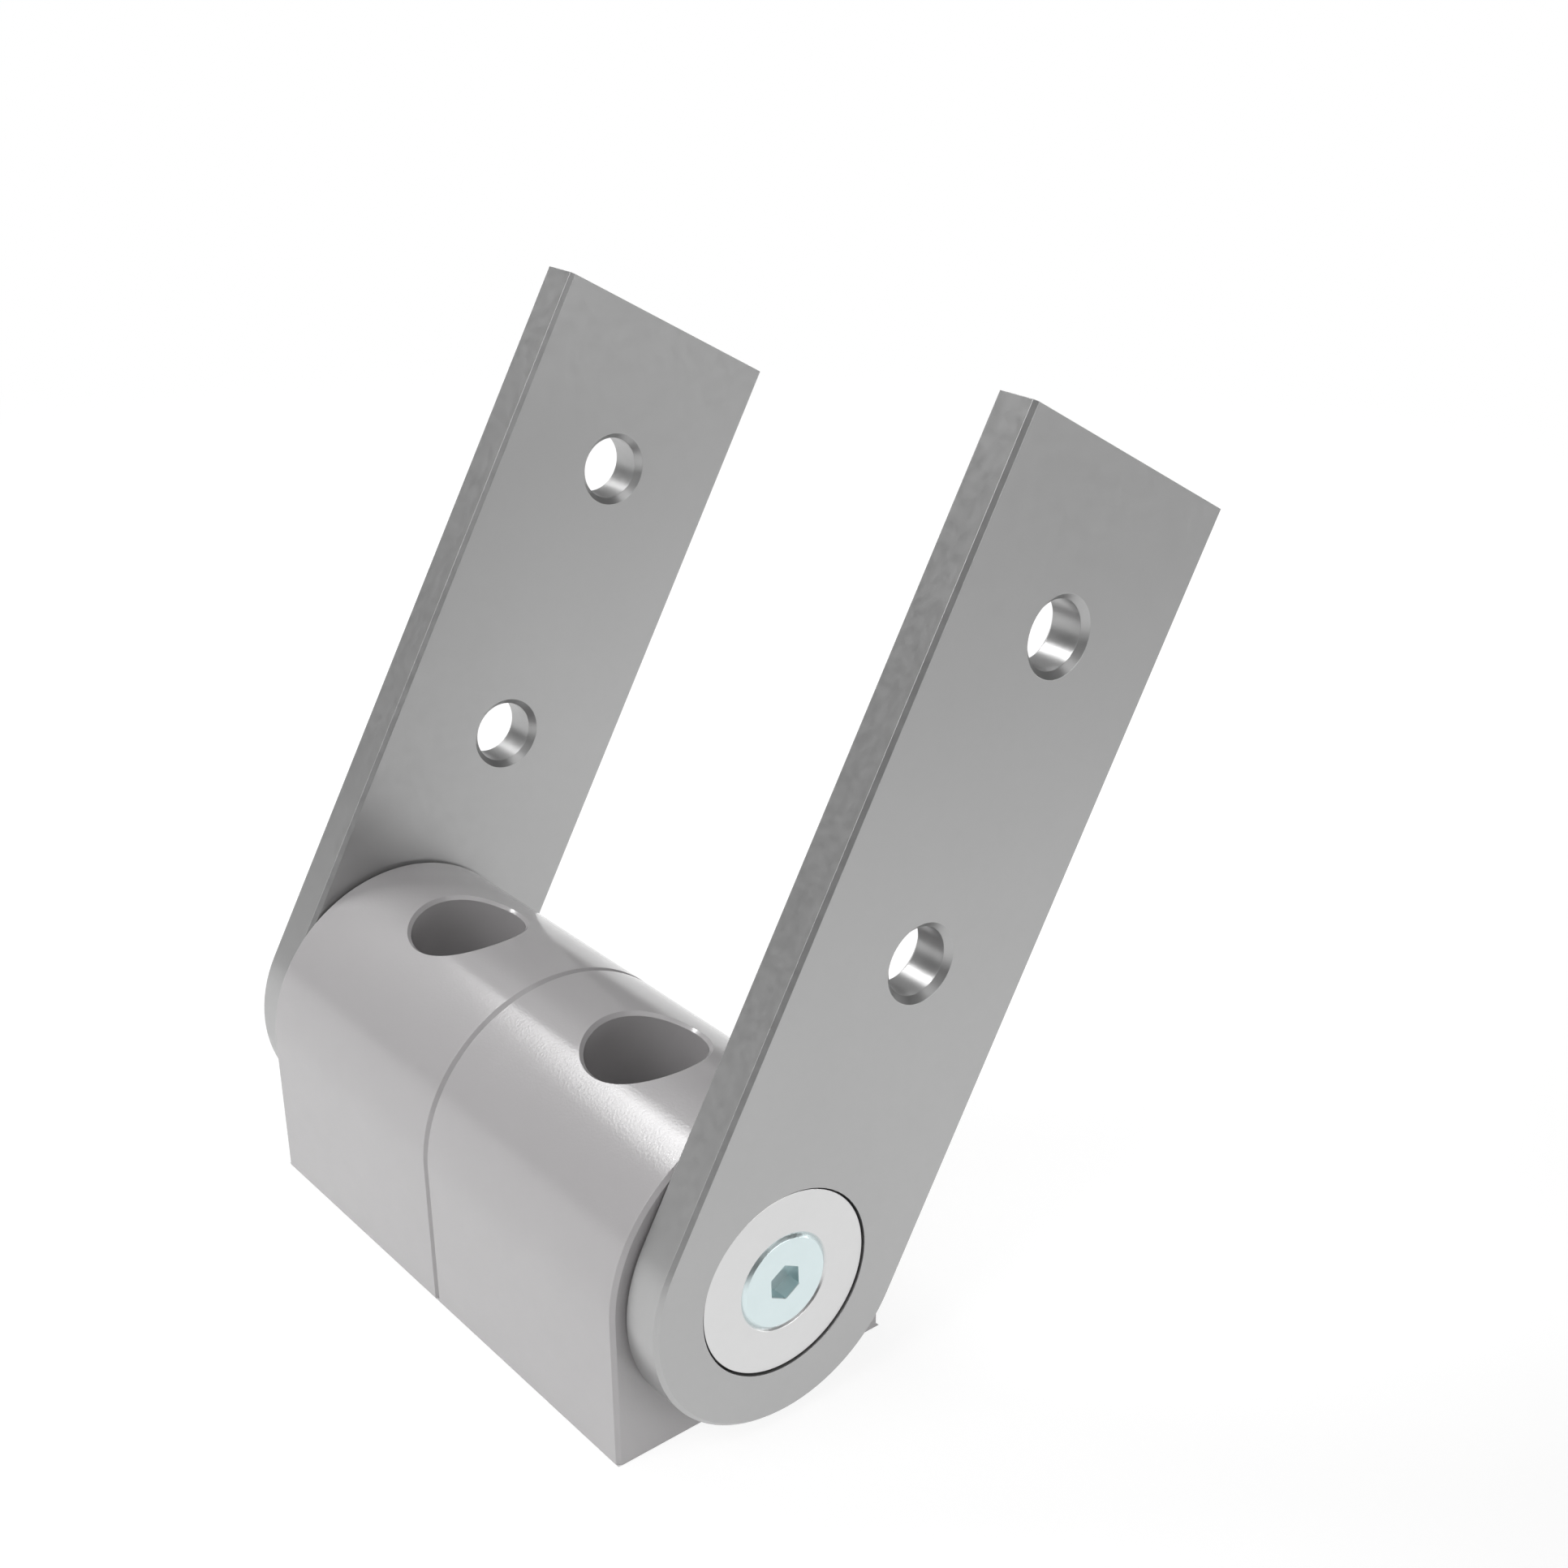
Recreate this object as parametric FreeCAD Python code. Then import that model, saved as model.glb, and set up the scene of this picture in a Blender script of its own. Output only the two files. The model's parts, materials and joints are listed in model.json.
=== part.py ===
import FreeCAD, Part
import math
import os

from FreeCAD import Vector

# Profile hinge for an 80 x 40 mm framing profile.
# Millimetres. +X runs along the hinge axis, +Z is up, and the origin is the
# centre of the base that the two blocks stand on. Each side piece is modelled on
# the right and mirrored to the left, as the real ones are the same part turned round.

# Blocks
block_width = 40.0
block_depth = 40.0
pivot_height = 20.0
block_edge_chamfer = 0.5
access_bore_diameter = 15.0
access_rim_chamfer = 0.5
foot_thickness = 10.0
foot_hole_diameter = 8.5
foot_hole_chamfer = 0.5
bush_seat_depth = 1.5

# Arms
arm_thickness = 6.0
arm_width = 37.0
arm_reach = 101.5
arm_edge_chamfer = 0.5
arm_tilt = 30.0
arm_hole_diameter = 8.5
arm_hole_chamfer = 0.8
first_hole_from_pivot = 40.0
hole_pitch = 40.0

# Pivot bush, a turned flange with the journal that the arm turns on
flange_diameter = 23.4
flange_thickness = 2.0
journal_diameter = 16.0
journal_lead_in = 0.3

# Plain bearing liner in the arm
liner_wall = 1.0
liner_flange_thickness = 0.5

# Slide washer between block and arm
washer_rim = 4.0

# Countersunk pivot screw
screw_thread_diameter = 6.0
screw_length = 16.0
screw_head_diameter = 12.4
screw_head_bevel = 0.53
screw_head_rise = 0.12
screw_hole_diameter = 6.6
screw_key_size = 4.0
screw_key_depth = 2.1
screw_key_turn = 1.6
screw_tip_chamfer = 0.6

# Stud that joins the two blocks
stud_length = 20.0
stud_tip_chamfer = 0.8
stud_key_size = 3.0
stud_key_depth = 3.0

# Fits and gaps
arm_gap = 0.25
flange_recess = 0.25
flange_side_gap = 0.25
axial_play = 0.05
journal_clearance = 0.05
seat_clearance = 0.02
washer_clearance = 0.1
thread_clearance = 0.05
past = 1.0
tiny = 1e-4

# Stations along the hinge axis, measured out from the seam
end_face = block_width
arm_inner = end_face + arm_gap
arm_outer = arm_inner + arm_thickness
bush_face = arm_outer - flange_recess
flange_back = bush_face - flange_thickness
liner_face = flange_back - axial_play
counterbore_floor = liner_face - liner_flange_thickness
washer_face = arm_inner - axial_play
screw_face = bush_face + screw_head_rise

# Radii shared by pieces that fit one another
journal_radius = journal_diameter / 2
liner_bore_radius = journal_radius + journal_clearance
liner_radius = liner_bore_radius + liner_wall
arm_bore_radius = liner_radius + seat_clearance
flange_radius = flange_diameter / 2
counterbore_radius = flange_radius + flange_side_gap
tapped_radius = screw_thread_diameter / 2 + thread_clearance

pivot = Vector(0, 0, pivot_height)
along_x = Vector(1, 0, 0)
up = Vector(0, 0, 1)


def turned(profile):
    """Solid of revolution about the hinge axis from (station, radius) corners."""
    corners = [Vector(station, 0, pivot_height + radius) for station, radius in profile]
    outline = Part.makePolygon(corners + corners[:1])
    return Part.Face(outline).revolve(pivot, along_x, 360)


def hexagon_socket(face_station, key_size, depth, turn):
    """Hexagonal prism that opens at face_station and runs back towards the seam."""
    corner_radius = key_size / math.sqrt(3)
    corners = []
    for step in range(6):
        angle = math.radians(90 + turn + 60 * step)
        across = corner_radius * math.cos(angle)
        height = pivot_height + corner_radius * math.sin(angle)
        corners.append(Vector(face_station - depth, across, height))
    outline = Part.makePolygon(corners + corners[:1])
    return Part.Face(outline).extrude(Vector(depth + past, 0, 0))


def edges_across_x(solid, keep):
    """Edges that lie in a plane of constant X and pass the test keep(bounding box)."""
    return [edge for edge in solid.Edges if edge.BoundBox.XLength < tiny and keep(edge.BoundBox)]


def bored_block():
    """Block with straight sides, a half-round top, a stepped fixing bore and a tapped cross hole."""
    half = block_depth / 2
    front_foot = Vector(0, -half, 0)
    front_top = Vector(0, -half, pivot_height)
    crown = Vector(0, 0, pivot_height + half)
    back_top = Vector(0, half, pivot_height)
    back_foot = Vector(0, half, 0)
    outline = Part.Wire([
        Part.makeLine(front_foot, front_top),
        Part.Arc(front_top, crown, back_top).toShape(),
        Part.makeLine(back_top, back_foot),
        Part.makeLine(back_foot, front_foot),
    ])
    block = Part.Face(outline).extrude(Vector(block_width, 0, 0))
    end_edges = edges_across_x(block, lambda box: box.ZMax > tiny)
    block = block.makeChamfer(block_edge_chamfer, end_edges)

    middle = block_width / 2
    access_radius = access_bore_diameter / 2
    above = crown.z - foot_thickness + past
    access = Part.makeCylinder(access_radius, above, Vector(middle, 0, foot_thickness), up)
    block = block.cut(access)
    saddle_rim = [edge for edge in block.Edges if edge.BoundBox.ZMin > pivot_height + tiny]
    block = block.makeChamfer(access_rim_chamfer, saddle_rim)

    foot_radius = foot_hole_diameter / 2
    foot_hole = Part.makeCylinder(foot_radius, foot_thickness + 2 * past, Vector(middle, 0, -past), up)
    foot_mouth = Part.makeCone(foot_radius + foot_hole_chamfer, foot_radius, foot_hole_chamfer,
                               Vector(middle, 0, 0), up)
    cross_hole = turned([(-past, 0), (-past, tapped_radius),
                         (end_face + past, tapped_radius), (end_face + past, 0)])
    bush_seat = turned([(end_face - bush_seat_depth, 0),
                        (end_face - bush_seat_depth, journal_radius + seat_clearance),
                        (end_face + past, journal_radius + seat_clearance),
                        (end_face + past, 0)])
    return block.cut([foot_hole, foot_mouth, cross_hole, bush_seat])


def tilted(solid):
    """Swing an upright arm piece about the hinge axis to its rest position, towards +Y."""
    return solid.rotated(pivot, along_x, -arm_tilt)


def arm():
    """Flat bar with a round pivot end, a square-cut far end and two chamfered fixing holes."""
    half = arm_width / 2
    far = pivot_height + arm_reach
    front_foot = Vector(arm_inner, -half, pivot_height)
    heel = Vector(arm_inner, 0, pivot_height - half)
    back_foot = Vector(arm_inner, half, pivot_height)
    back_far = Vector(arm_inner, half, far)
    front_far = Vector(arm_inner, -half, far)
    outline = Part.Wire([
        Part.Arc(front_foot, heel, back_foot).toShape(),
        Part.makeLine(back_foot, back_far),
        Part.makeLine(back_far, front_far),
        Part.makeLine(front_far, front_foot),
    ])
    bar = Part.Face(outline).extrude(Vector(arm_thickness, 0, 0))
    long_edges = edges_across_x(bar, lambda box: box.ZMin < far - tiny)
    bar = bar.makeChamfer(arm_edge_chamfer, long_edges)

    hole_radius = arm_hole_diameter / 2
    mouth_radius = hole_radius + arm_hole_chamfer
    cuts = []
    for distance in (first_hole_from_pivot, first_hole_from_pivot + hole_pitch):
        height = pivot_height + distance
        inner = Vector(arm_inner, 0, height)
        outer = Vector(arm_outer, 0, height)
        cuts.append(Part.makeCylinder(hole_radius, arm_thickness, inner, along_x))
        cuts.append(Part.makeCone(mouth_radius, hole_radius, arm_hole_chamfer, inner, along_x))
        cuts.append(Part.makeCone(mouth_radius, hole_radius, arm_hole_chamfer, outer, -along_x))
    cuts.append(turned([(arm_inner - past, 0), (arm_inner - past, arm_bore_radius),
                        (counterbore_floor, arm_bore_radius), (counterbore_floor, counterbore_radius),
                        (arm_outer + past, counterbore_radius), (arm_outer + past, 0)]))
    return tilted(bar.cut(cuts))


def bearing_liner():
    """Flanged plain bearing: its sleeve lines the arm's bore and its flange faces the bush."""
    liner_flange_radius = flange_radius
    return tilted(turned([(arm_inner, liner_bore_radius), (arm_inner, liner_radius),
                          (counterbore_floor, liner_radius), (counterbore_floor, liner_flange_radius),
                          (liner_face, liner_flange_radius), (liner_face, liner_bore_radius)]))


def slide_washer():
    """Thin washer that fills the gap between the block's end face and the arm."""
    inner_radius = journal_radius + washer_clearance
    outer_radius = inner_radius + washer_rim
    return turned([(end_face, inner_radius), (end_face, outer_radius),
                   (washer_face, outer_radius), (washer_face, inner_radius)])


def pivot_bush():
    """Turned bush: the journal stands in the block's seat and the flange keeps the arm on."""
    seat_floor = end_face - bush_seat_depth
    hole_radius = screw_hole_diameter / 2
    mouth_radius = screw_head_diameter / 2 + seat_clearance
    cone_start = bush_face - (mouth_radius - hole_radius)
    return turned([(seat_floor, hole_radius),
                   (seat_floor, journal_radius - journal_lead_in),
                   (seat_floor + journal_lead_in, journal_radius),
                   (flange_back, journal_radius), (flange_back, flange_radius),
                   (bush_face, flange_radius), (bush_face, mouth_radius),
                   (cone_start, hole_radius)])


def pivot_screw():
    """Countersunk screw with a bevelled, slightly raised head face and a hexagon socket."""
    head_radius = screw_head_diameter / 2
    thread_radius = screw_thread_diameter / 2
    tip = screw_face - screw_length
    screw = turned([(tip, 0), (tip, thread_radius - screw_tip_chamfer),
                    (tip + screw_tip_chamfer, thread_radius),
                    (bush_face - (head_radius - thread_radius), thread_radius),
                    (bush_face, head_radius), (screw_face, head_radius - screw_head_bevel),
                    (screw_face, 0)])
    return screw.cut(hexagon_socket(screw_face, screw_key_size, screw_key_depth, screw_key_turn))


def joining_stud():
    """Set screw in the tapped inner walls that holds the two blocks together at the seam."""
    half = stud_length / 2
    radius = screw_thread_diameter / 2
    stud = turned([(-half, 0), (-half, radius - stud_tip_chamfer),
                   (-half + stud_tip_chamfer, radius), (half - stud_tip_chamfer, radius),
                   (half, radius - stud_tip_chamfer), (half, 0)])
    return stud.cut(hexagon_socket(half, stud_key_size, stud_key_depth, 0))


side_pieces = {
    "block": bored_block(),
    "arm": arm(),
    "bearing_liner": bearing_liner(),
    "slide_washer": slide_washer(),
    "pivot_bush": pivot_bush(),
    "pivot_screw": pivot_screw(),
}

os.makedirs("parts", exist_ok=True)
for name, piece in side_pieces.items():
    piece.exportStep("parts/right_" + name + ".step")
    piece.mirror(Vector(0, 0, 0), along_x).exportStep("parts/left_" + name + ".step")
joining_stud().exportStep("parts/joining_stud.step")
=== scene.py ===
# %% [markdown]
# # A profile hinge around its CAD frame
# The hinge is two painted blocks with half-round tops, side by side, and two flat steel arms that swing on
# turned bushes at the blocks' outer ends. The imported CAD model is loaded first and stays as it is: it gives
# every size and place, in metres. What the camera sees is then built over it as finer surfaces with real
# finishes, and each new piece hides the CAD node that it stands for and rides on its body.

# %% Load the frame
import json
import math

import bmesh
import bpy
import numpy as np
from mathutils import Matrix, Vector


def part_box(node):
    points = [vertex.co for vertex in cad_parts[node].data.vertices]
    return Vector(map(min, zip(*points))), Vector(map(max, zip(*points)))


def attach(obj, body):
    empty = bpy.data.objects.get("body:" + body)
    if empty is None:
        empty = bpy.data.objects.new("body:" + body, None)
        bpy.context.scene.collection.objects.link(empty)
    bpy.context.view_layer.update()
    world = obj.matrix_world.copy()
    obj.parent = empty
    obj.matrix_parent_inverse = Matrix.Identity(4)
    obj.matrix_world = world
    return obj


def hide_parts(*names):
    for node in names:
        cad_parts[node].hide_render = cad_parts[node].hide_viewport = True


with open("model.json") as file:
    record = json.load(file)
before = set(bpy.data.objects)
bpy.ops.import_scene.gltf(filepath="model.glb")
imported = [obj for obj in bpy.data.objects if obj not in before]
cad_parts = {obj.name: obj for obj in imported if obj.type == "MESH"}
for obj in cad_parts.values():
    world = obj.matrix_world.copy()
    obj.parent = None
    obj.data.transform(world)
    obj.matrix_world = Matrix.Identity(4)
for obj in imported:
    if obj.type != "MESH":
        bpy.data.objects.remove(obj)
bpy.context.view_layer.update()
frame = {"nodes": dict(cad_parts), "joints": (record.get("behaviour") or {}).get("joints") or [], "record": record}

scene = bpy.context.scene
mm = 0.001

# %% [markdown]
# ## Sizes from the frame
# What the frame states isn't measured again. The blocks, bushes and screws give their sizes through their
# boxes, and the record gives the pivot, the arms' fixing holes and the bores in the blocks. Sizes that it
# doesn't state, such as chamfers, are named where the piece is made. The arms stand tilted, so their own
# length and width are worked out from their box: the back corner of the far end is the furthest point along
# Y, and the front corner is the highest, which gives two equations for the reach and the half width.

# %% Read the sizes
block_low, block_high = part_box("right_block")
arm_low, arm_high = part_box("right_arm")
bush_low, bush_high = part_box("right_pivot_bush")
screw_low, screw_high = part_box("right_pivot_screw")
stud_low, stud_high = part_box("joining_stud")
mounts = {mount["name"]: mount for mount in frame["record"]["mounts"]}
pivot_height = frame["joints"][0]["pos_m"][2]

block_width = block_high.x - block_low.x
block_radius = block_high.y
access_bore = mounts["right_access_bore"]
bore_centre = access_bore["pos_m"][0]
bore_radius = access_bore["dims"]["r_mm"] * mm
bore_floor = access_bore["pos_m"][2] - access_bore["dims"]["length_mm"] / 2 * mm
foot_hole_radius = mounts["foot_holes"]["dims"]["hole_r_mm"] * mm

near_hole = Vector(mounts["right_arm_near_hole"]["pos_m"][1:])
far_hole = Vector(mounts["right_arm_far_hole"]["pos_m"][1:])
pivot_point = Vector((0.0, pivot_height))
near_reach = (near_hole - pivot_point).length
far_reach = (far_hole - pivot_point).length
arm_tilt = math.atan2(far_hole.x, far_hole.y - pivot_height)
tilt_sine, tilt_cosine = math.sin(arm_tilt), math.cos(arm_tilt)
back_corner, top_corner = arm_high.y, arm_high.z - pivot_height
double_tilt_cosine = tilt_cosine**2 - tilt_sine**2
arm_reach = (top_corner * tilt_cosine - back_corner * tilt_sine) / double_tilt_cosine
arm_half_width = (back_corner * tilt_cosine - top_corner * tilt_sine) / double_tilt_cosine
arm_hole_radius = mounts["right_arm_near_hole"]["dims"]["r_mm"] * mm
disc_radius = bush_high.y
print("arm tilt", round(math.degrees(arm_tilt), 2), "reach", round(arm_reach / mm, 2),
      "half width", round(arm_half_width / mm, 2), "disc radius", round(disc_radius / mm, 2))

# %% [markdown]
# ## Skins from grids
# Every surface here is one or more grids: rows of points with quads between them. A grid is a pure function
# of two numbers, so it is worked out as whole arrays. A piece is a list of such grids that share their
# border points. Its doubles are merged, which closes the skin, and its faces are then turned outwards. A
# closed skin has no open edge, and its volume can be set beside the CAD solid's as a check, so both are
# printed.

# %% Divide, border and spoke helpers
weld_distance = 0.001 * mm
soft_edge_angle = math.radians(30)
spare_share_of_step = 0.001


def divided(stops, step):
    """Numbers through every stop, each span between stops cut into equal steps no longer than step."""
    spans = []
    for start, end in zip(stops, stops[1:]):
        count = max(1, math.ceil((end - start) / step - spare_share_of_step))
        spans.append(np.linspace(start, end, count + 1)[:-1])
    return np.concatenate(spans + [np.array(stops[-1:])])


def rectangle_border(across, along):
    """Closed border of a rectangle through its division lines, anticlockwise from the low corner."""
    low = np.stack([across[:-1], np.full(len(across) - 1, along[0])], axis=1)
    right = np.stack([np.full(len(along) - 1, across[-1]), along[:-1]], axis=1)
    high = np.stack([across[:0:-1], np.full(len(across) - 1, along[-1])], axis=1)
    left = np.stack([np.full(len(along) - 1, across[0]), along[:0:-1]], axis=1)
    return np.concatenate([low, right, high, left])


def bearing(points, centre):
    """Angle of each point as seen from the centre, anticlockwise from the first axis."""
    return np.arctan2(points[:, 1] - centre[1], points[:, 0] - centre[0])


def circle(angles, radius, centre):
    """Points of a circle at the given angles."""
    return np.stack([centre[0] + radius * np.cos(angles), centre[1] + radius * np.sin(angles)], axis=1)


def spokes(inner, outer, rows):
    """Straight lines from each point of a closed curve to its partner on another, cut into rows."""
    share = np.linspace(0, 1, rows)[:, None, None]
    return inner * (1 - share) + outer * share


def horseshoe(distance, radius, inset):
    """Outline with a half-round crown and straight legs, inset by a constant width.

    At a distance from the crown of up to a quarter turn the point is on the arc, at that angle. Past it, the
    point runs straight down the leg. Returns the place across the legs and the height over the arc's centre.
    """
    quarter = radius * math.pi / 2
    angle = np.clip(distance, -quarter, quarter) / radius
    down = np.maximum(np.abs(distance) - quarter, 0)
    return (radius - inset) * np.sin(angle), (radius - inset) * np.cos(angle) - down


# %% Grid and skin builders
def grid(x, y, z, wrap=False):
    """Grid of points from three arrays of rows and columns; wrap joins the last column to the first."""
    points = np.stack(np.broadcast_arrays(x, y, z), axis=-1)
    return points, wrap


def grid_quads(rows, columns, wrap):
    """Quads of a grid whose points are numbered row by row."""
    steps = columns if wrap else columns - 1
    row, column = np.meshgrid(np.arange(rows - 1), np.arange(steps), indexing="ij")
    start = row * columns + column
    end = row * columns + (column + 1) % columns
    quads = np.stack([start, end, end + columns, start + columns], axis=-1)
    return quads.reshape(-1, 4)


def make_skin(name, grids, mirrored=False):
    """One closed mesh object from grids: points numbered through, doubles merged, faces turned outwards."""
    points, quads, used = [], [], 0
    for corners, wrap in grids:
        rows, columns = corners.shape[:2]
        quads.append(grid_quads(rows, columns, wrap) + used)
        points.append(corners.reshape(-1, 3))
        used += rows * columns
    points = np.concatenate(points)
    if mirrored:
        points = points * np.array([-1, 1, 1])
    mesh = bpy.data.meshes.new(name)
    mesh.from_pydata(points.tolist(), [], np.concatenate(quads).tolist())
    work = bmesh.new()
    work.from_mesh(mesh)
    bmesh.ops.remove_doubles(work, verts=work.verts, dist=weld_distance)
    bmesh.ops.recalc_face_normals(work, faces=work.faces)
    open_edges = sum(1 for edge in work.edges if not edge.is_manifold)
    volume = work.calc_volume(signed=True)
    if volume < 0:
        bmesh.ops.reverse_faces(work, faces=work.faces)
    work.to_mesh(mesh)
    work.free()
    mesh.polygons.foreach_set("use_smooth", np.ones(len(mesh.polygons), dtype=bool))
    piece = bpy.data.objects.new(name, mesh)
    scene.collection.objects.link(piece)
    print(name, "faces", len(mesh.polygons), "open edges", open_edges,
          "cubic mm", round(abs(volume) / mm**3, 1))
    return piece


def soften(piece, width):
    """Round every sharp edge of a piece with a narrow bevel, which catches the light as a real edge does."""
    bevel = piece.modifiers.new("soft_edges", "BEVEL")
    bevel.width = width
    bevel.segments = 2
    bevel.limit_method = "ANGLE"
    bevel.angle_limit = soft_edge_angle
    bevel.harden_normals = True
    return piece


# %% [markdown]
# ## The block
# On the real hinge each block is a casting: straight front and back, a half-round top about the hinge axis,
# a chamfer round both ends, and a wide bore from the top that lets a screw down to the foot. It could be a
# bevelled boolean, but a boolean leaves long thin triangles across the round top, and those show as dents in
# its reflections. Here the front, the top and the back are one bent sheet. It is laid out flat, divided into
# a grid with a square cell round the bore, and then bent over the horseshoe outline, so its rows stay true
# to the cylinder.

# %% Lay out the block's sheet
end_chamfer = 0.5 * mm
rim_chamfer = 0.5 * mm
cell_half = 12 * mm
cell_steps = 24
margin_steps = 3
cell_rows = 12
end_rows = 6
leg_step = 1.2 * mm
quarter_round = block_radius * math.pi / 2
leg_end = quarter_round + pivot_height
cell_lines = np.linspace(-cell_half, cell_half, cell_steps + 1)
margin = np.linspace(end_chamfer, bore_centre - cell_half, margin_steps + 1)
across_lines = np.concatenate([margin[:-1], bore_centre + cell_lines, block_width - margin[:-1][::-1]])
along_side = divided([cell_half, quarter_round, leg_end], leg_step)
along_lines = np.concatenate([-along_side[:0:-1], cell_lines, along_side[1:]])
# The base's border then has as many points as the bore's rim.
base_steps = cell_steps - 2 * margin_steps - 2
base_lines = np.linspace(end_chamfer - block_radius, block_radius - end_chamfer, base_steps + 1)
print("sheet lines", len(across_lines), "by", len(along_lines))


def bend(across, along, inset=0.0):
    """Bend the flat sheet over the block's outline: across stays X, along runs over the crown."""
    y, z = horseshoe(along, block_radius, inset)
    return grid(across, y, z + pivot_height)


def bore_rim(angles, width):
    """Rim of the bore on the flat sheet, widened by a constant width.

    The bore is a circle in plan. Its point at (x, y) lies at block radius * arcsin(y / block radius) along
    the sheet, and the widening is along the curve's normal there.
    """
    x = bore_radius * np.cos(angles)
    y = bore_radius * np.sin(angles)
    slope = np.sqrt(1 - (y / block_radius) ** 2)
    normal = np.stack([x / slope, y], axis=1)
    normal /= np.linalg.norm(normal, axis=1, keepdims=True)
    flat = np.stack([bore_centre + x, block_radius * np.arcsin(y / block_radius)], axis=1)
    return flat + width * normal


# %% Build the block's outside
def block_sheets():
    """Whole strips of the bent sheet beside the cell, and spokes from the bore's rim to the cell's border."""
    first, last = margin_steps, margin_steps + cell_steps
    low = len(along_side) - 1
    high = low + cell_steps
    strips = [(slice(None), slice(0, low + 1)), (slice(None), slice(high, None)),
              (slice(0, first + 1), slice(low, high + 1)), (slice(last, None), slice(low, high + 1))]
    sheets = [bend(across_lines[columns][:, None], along_lines[rows][None]) for columns, rows in strips]
    border = rectangle_border(bore_centre + cell_lines, cell_lines)
    rim = bore_rim(bore_angles, rim_chamfer)
    cell = spokes(rim, border, cell_rows)
    sheets.append((bend(cell[..., 0], cell[..., 1])[0], True))
    return sheets


def end_grids(face_x, chamfer_x, hole_radius, hole_end):
    """Chamfer, flat end and blind hole of one end of the block."""
    chamfer = [np.stack([np.full(len(along_lines), x), *horseshoe(along_lines, block_radius, inset)], axis=1)
               for x, inset in ((chamfer_x, 0.0), (face_x, end_chamfer))]
    chamfer = np.stack(chamfer)
    chamfer[..., 2] += pivot_height
    legs_y, legs_z = horseshoe(along_lines[::-1], block_radius, end_chamfer)
    outline = np.concatenate([np.stack([base_lines[:-1], np.zeros(base_steps)], axis=1),
                              np.stack([legs_y, legs_z + pivot_height], axis=1)[:-1]])
    centre = (0.0, pivot_height)
    hole = circle(bearing(outline, centre), hole_radius, centre)
    face = spokes(hole, outline, end_rows)
    tunnel = np.stack([hole, hole, np.broadcast_to(centre, hole.shape)])
    tunnel_x = np.array([face_x, hole_end, hole_end])[:, None]
    return [(chamfer, False), grid(face_x, face[..., 0], face[..., 1], True),
            grid(tunnel_x, tunnel[..., 0], tunnel[..., 1], True)]


bore_angles = bearing(rectangle_border(cell_lines, cell_lines), (0.0, 0.0))
print("points round the bore", len(bore_angles))

# %% [markdown]
# ## The block's bore, foot and base
# The bore is the feature that the eye goes to, so its rim matters most: the chamfer has a constant width
# along a saddle-shaped edge, as a deburring tool leaves it. The wall hangs from that rim down to the foot.
# Two small windows open in it, where the cross hole for the joining stud and the pivot screw passes. Each
# band of the wall is a grid with the same number of columns as the rim has points, so the whole inside
# closes without a seam.

# %% Build the bore and the base
foot_mouth = 0.5 * mm
thread_clearance = 0.05 * mm
window_radius = stud_high.y + thread_clearance
window_half = 6 * mm
window_steps = 12
window_rows = 5
above_window_rows = 9
below_window_rows = 4
base_rows = 6
hidden_overlap = 1 * mm


def wall_point(angles, heights):
    """Points of the bore's wall from the angle round the bore and the height."""
    return grid(bore_centre + bore_radius * np.cos(angles), bore_radius * np.sin(angles), heights, True)


def window_grids(angles, heights, facing, tunnel_end):
    """Patch of the bore's wall with a round window, and the blind hole behind it.

    On the unrolled wall the window's rim point (y, z) lies at bore radius * arcsin(y / bore radius) from the
    patch's middle line. facing is 1 for the wall towards the arm and -1 for the wall towards the seam.
    """
    middle = angles[len(angles) // 2]
    unrolled = (angles - middle) * bore_radius
    border = rectangle_border(unrolled, heights)
    centre = (0.0, pivot_height)
    rim = circle(bearing(border, centre), window_radius, centre)
    flat_rim = np.stack([bore_radius * np.arcsin(rim[:, 0] / bore_radius), rim[:, 1]], axis=1)
    patch = spokes(flat_rim, border, window_rows)
    wall, _ = wall_point(middle + patch[..., 0] / bore_radius, patch[..., 1])
    tunnel_y = facing * np.stack([rim[:, 0], rim[:, 0], np.zeros(len(rim))])
    tunnel_z = np.stack([rim[:, 1], rim[:, 1], np.full(len(rim), pivot_height)])
    tunnel_x = np.full(tunnel_y.shape, tunnel_end)
    tunnel_x[0] = wall[0, :, 0]
    return [(wall, True), grid(tunnel_x, tunnel_y, tunnel_z, True)]


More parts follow.
